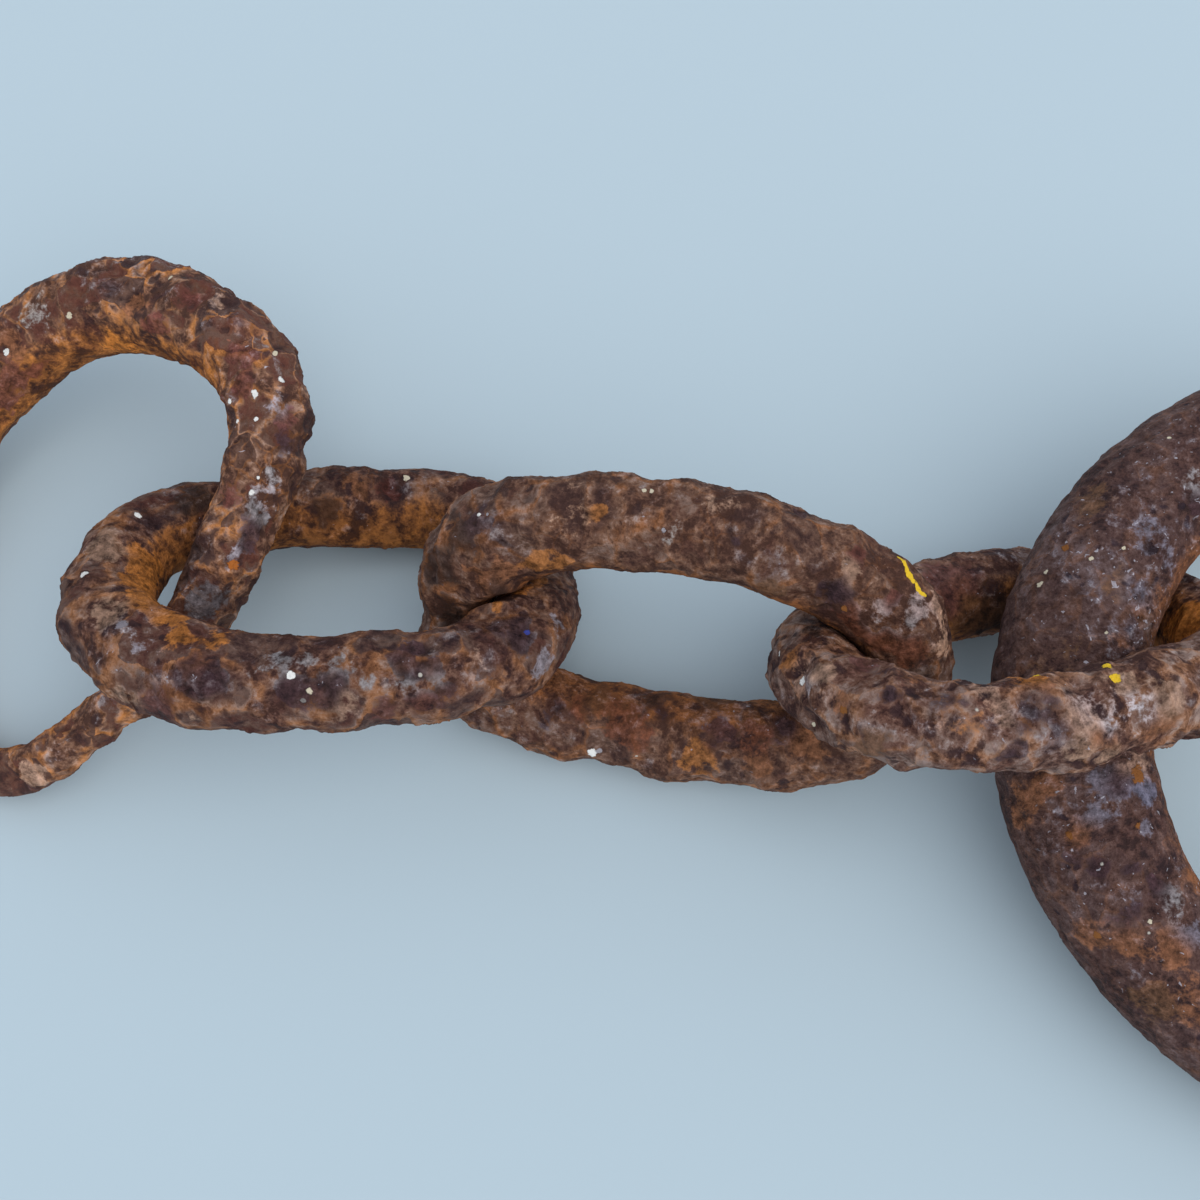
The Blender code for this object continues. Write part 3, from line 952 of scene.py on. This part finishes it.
def unwrapBar(mesh, stations, facets):
    # the bar slit along its length, cut in two and laid flat, one half above the other
    layer = mesh.uv_layers.new(name="OFBake")
    margin = 0.01
    half = stations // 2
    for polygon in mesh.polygons:
        corners = [(vertex // facets, vertex % facets) for vertex in polygon.vertices]
        lastStation = max(station for station, facet in corners) == stations - 1
        lastFacet = max(facet for station, facet in corners) == facets - 1
        first = min(station for station, facet in corners)
        wraps = lastStation and first == 0
        for loop, (station, facet) in zip(polygon.loop_indices, corners):
            if wraps and station == 0:
                station = stations
            if lastFacet and facet == 0:
                facet = facets
            upper = (stations - 1 if wraps else first) >= half
            place = (station - half * upper) / (stations - half) if upper else station / half
            along = margin + (1.0 - 2.0 * margin) * place
            layer.data[loop].uv = (along, margin + (0.5 - 2.0 * margin) * facet / facets + 0.5 * upper)


def makeBar(piece, tree):
    # one piece: the rule read out with the piece's own values, then kept as a plain mesh
    name = piece["name"]
    marks = marksOf(piece)
    values = valuesOf(piece, marks)
    raw = inScene(name + "Raw", bpy.data.meshes.new(name + "Raw"))
    modifier = raw.modifiers.new("bentBar", "NODES")
    modifier.node_group = tree
    for item in tree.interface.items_tree:
        if item.in_out == "INPUT":
            modifier[item.identifier] = values[item.name]
    bpy.context.view_layer.update()
    graph = bpy.context.evaluated_depsgraph_get()
    mesh = bpy.data.meshes.new_from_object(
        raw.evaluated_get(graph), preserve_all_data_layers=True, depsgraph=graph
    )
    for helper in (raw, *marks.values()):
        bpy.data.objects.remove(helper, do_unlink=True)
    mesh.name = name
    unwrapBar(mesh, piece["stations"], piece["facets"])
    bar = inScene(name, mesh)
    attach(bar, "root")
    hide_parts(piece["node"])
    print(name, "made of", len(mesh.polygons), "faces")


studio = dict(
    lookAt=(-0.0447, 0.0292, 0.0), distance=0.305, tilt=68.0, lens=34.5, sensor=36.0, nearest=0.01,
    floorTone=(190, 206, 214), floorRoughness=0.9, floorReach=50.0, floorDrop=0.0001,
    worldTone=(228, 238, 250), worldLight=0.86,
    lampSpot=(4.5, -4.0, 8.0), lampSize=15.0, lampPower=540.0, lampTone=(255, 253, 248),
)


def makeCamera():
    tilt = math.radians(studio["tilt"])
    forward = Vector((0.0, math.cos(tilt), -math.sin(tilt)))
    camera = inScene("camera", bpy.data.cameras.new("camera"))
    camera.data.sensor_width = studio["sensor"]
    camera.data.lens = studio["lens"]
    camera.data.clip_start = studio["nearest"]
    camera.location = Vector(studio["lookAt"]) - forward * studio["distance"]
    camera.rotation_euler = (math.pi / 2 - tilt, 0.0, 0.0)
    bpy.context.scene.camera = camera


def makeFloor():
    mesh = bpy.data.meshes.new("floor")
    reach = studio["floorReach"]
    corners = [(x * reach, y * reach, 0.0) for x, y in ((-1, -1), (1, -1), (1, 1), (-1, 1))]
    mesh.from_pydata(corners, [], [(0, 1, 2, 3)])
    floor = inScene("floor", mesh)
    floor.location.z = cadLow.z - studio["floorDrop"]
    paint = bpy.data.materials.new("paleFloor")
    paint.use_nodes = True
    shader = paint.node_tree.nodes["Principled BSDF"]
    shader.inputs["Base Color"].default_value = linear(studio["floorTone"])
    shader.inputs["Roughness"].default_value = studio["floorRoughness"]
    mesh.materials.append(paint)


def makeLight():
    world = bpy.data.worlds.new("softRoom")
    world.use_nodes = True
    background = world.node_tree.nodes["Background"]
    background.inputs["Color"].default_value = linear(studio["worldTone"])
    background.inputs["Strength"].default_value = studio["worldLight"]
    bpy.context.scene.world = world

    lamp = bpy.data.lights.new("softLamp", "AREA")
    lamp.shape = "DISK"
    lamp.size = studio["lampSize"]
    lamp.energy = studio["lampPower"]
    lamp.color = linear(studio["lampTone"])[:3]
    spot = Vector(studio["lampSpot"])
    lampObject = inScene("softLamp", lamp)
    lampObject.location = Vector(studio["lookAt"]) + spot
    lampObject.rotation_euler = (-spot).to_track_quat("-Z", "Y").to_euler()
    bpy.context.scene.view_settings.view_transform = "Standard"


barRule = bentBarTree()
for piece in (endLoop, leftLink, middleLink, rightLink, largeRing):
    makeBar(piece, barRule)
makeCamera()
makeFloor()
makeLight()
print("studio made")
